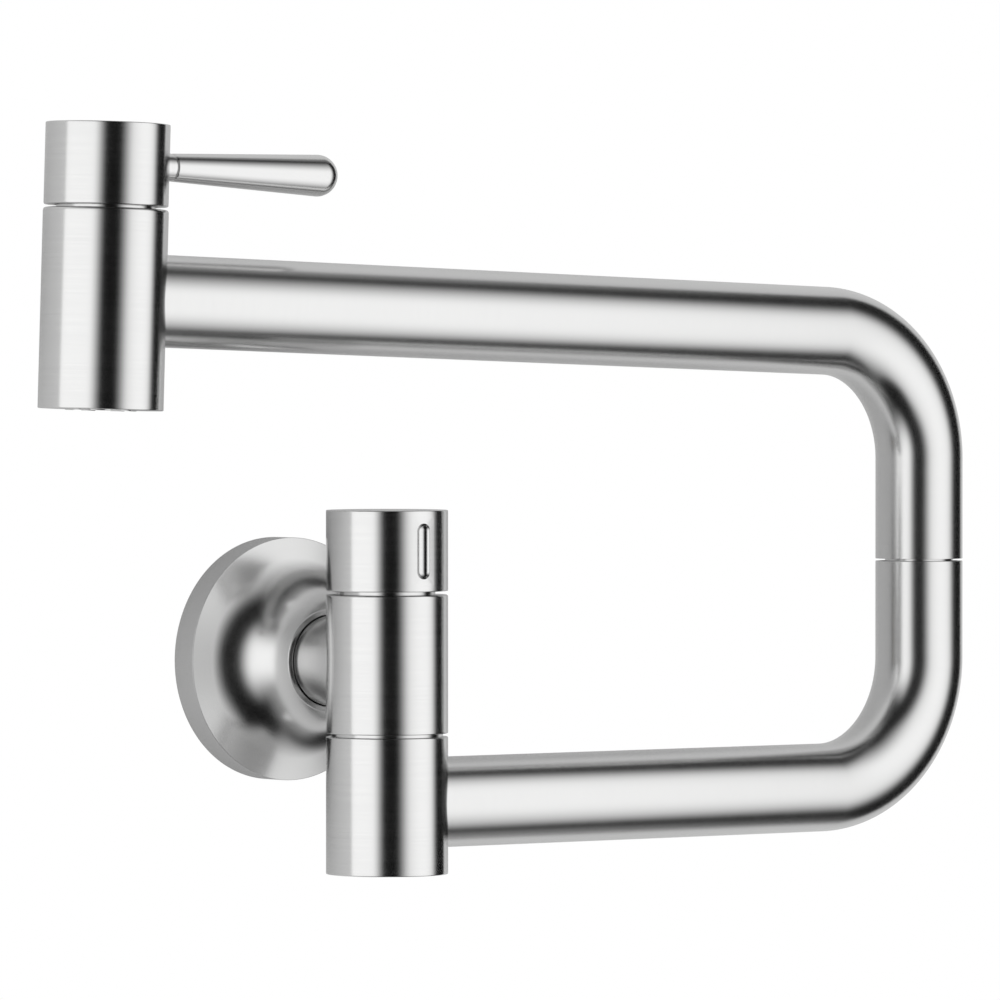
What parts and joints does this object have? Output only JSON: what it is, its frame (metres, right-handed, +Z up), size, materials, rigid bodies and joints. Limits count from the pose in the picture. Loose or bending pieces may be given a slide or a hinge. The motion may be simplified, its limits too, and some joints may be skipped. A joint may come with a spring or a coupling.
{
  "type": "wall-mounted pot filler tap",
  "caption": "Wall-mounted folding pot filler: a shut-off valve on a rosette, a jointed pair of bent tube arms and a lever valve with an aerator at the spout.",
  "frame": {"origin": "on the wall plane, on the axis of the water inlet", "axes": "+X to the right along the wall, +Y into the wall along the inlet, +Z up"},
  "size_m": [0.3776, 0.1031, 0.2448],
  "materials": {
    "brushed_steel": "fine brushed satin",
    "lever_steel": "smooth satin",
    "plain_steel": "bright",
    "brass": "machined",
    "seal_rubber": "matte",
    "ceramic_disc": "lapped",
    "aerator_plastic": "moulded"
  },
  "bodies": {
    "wall_valve": {"inlet_nipple": "brass", "mounting_flange": "plain_steel", "inlet_gasket": "seal_rubber", "rosette": "brushed_steel", "rosette_oring": "seal_rubber", "rosette_seal": "seal_rubber", "inlet_neck": "brushed_steel", "valve_body": "brushed_steel", "shutoff_cartridge": "brass", "shutoff_seat_seal": "seal_rubber", "shutoff_fixed_disc": "ceramic_disc", "swivel_shaft": "brass", "swivel_orings": "seal_rubber", "swivel_seam_ring": "brushed_steel", "swivel_thrust_washer": "plain_steel", "swivel_clip": "plain_steel"},
    "shutoff_knob": {"knob": "brushed_steel", "knob_screw": "plain_steel", "shutoff_spindle": "brass", "shutoff_turning_disc": "ceramic_disc", "shutoff_stem_oring": "seal_rubber"},
    "lower_arm": {"swivel_housing": "brushed_steel", "swivel_plug": "brushed_steel", "lower_arm_connector": "brass", "lower_arm_tube": "brushed_steel", "elbow_spigot": "plain_steel", "elbow_orings": "seal_rubber", "elbow_washer": "plain_steel", "elbow_clip": "plain_steel"},
    "upper_arm": {"elbow_sleeve": "plain_steel", "upper_arm_tube": "brushed_steel", "upper_arm_connector": "brass", "spout_body": "brushed_steel", "spout_cartridge": "brass", "spout_seat_seal": "seal_rubber", "spout_fixed_disc": "ceramic_disc", "aerator_housing": "brushed_steel", "aerator_insert": "aerator_plastic", "aerator_seal": "seal_rubber"},
    "spout_lever": {"lever_cap": "brushed_steel", "lever_stem": "lever_steel", "lever": "lever_steel", "spout_spindle": "brass", "spout_turning_disc": "ceramic_disc", "spout_stem_oring": "seal_rubber"}
  },
  "joints": [
    {"name": "knob_turn", "type": "hinge", "parent": "wall_valve", "child": "shutoff_knob", "pos_m": [0, -0.063, 0], "axis": [0, 0, 1], "range_deg": [0, 90]},
    {"name": "lower_swivel", "type": "hinge", "parent": "wall_valve", "child": "lower_arm", "pos_m": [0, -0.063, 0], "axis": [0, 0, 1], "range_deg": [-180, 0]},
    {"name": "elbow_swivel", "type": "hinge", "parent": "lower_arm", "child": "upper_arm", "pos_m": [0.2279, -0.063, 0], "axis": [0, 0, 1], "range_deg": [-180, 180]},
    {"name": "lever_turn", "type": "hinge", "parent": "upper_arm", "child": "spout_lever", "pos_m": [-0.1135, -0.063, 0.11906], "axis": [0.0339, 0, 0.9994], "range_deg": [-90, 0]}
  ]
}
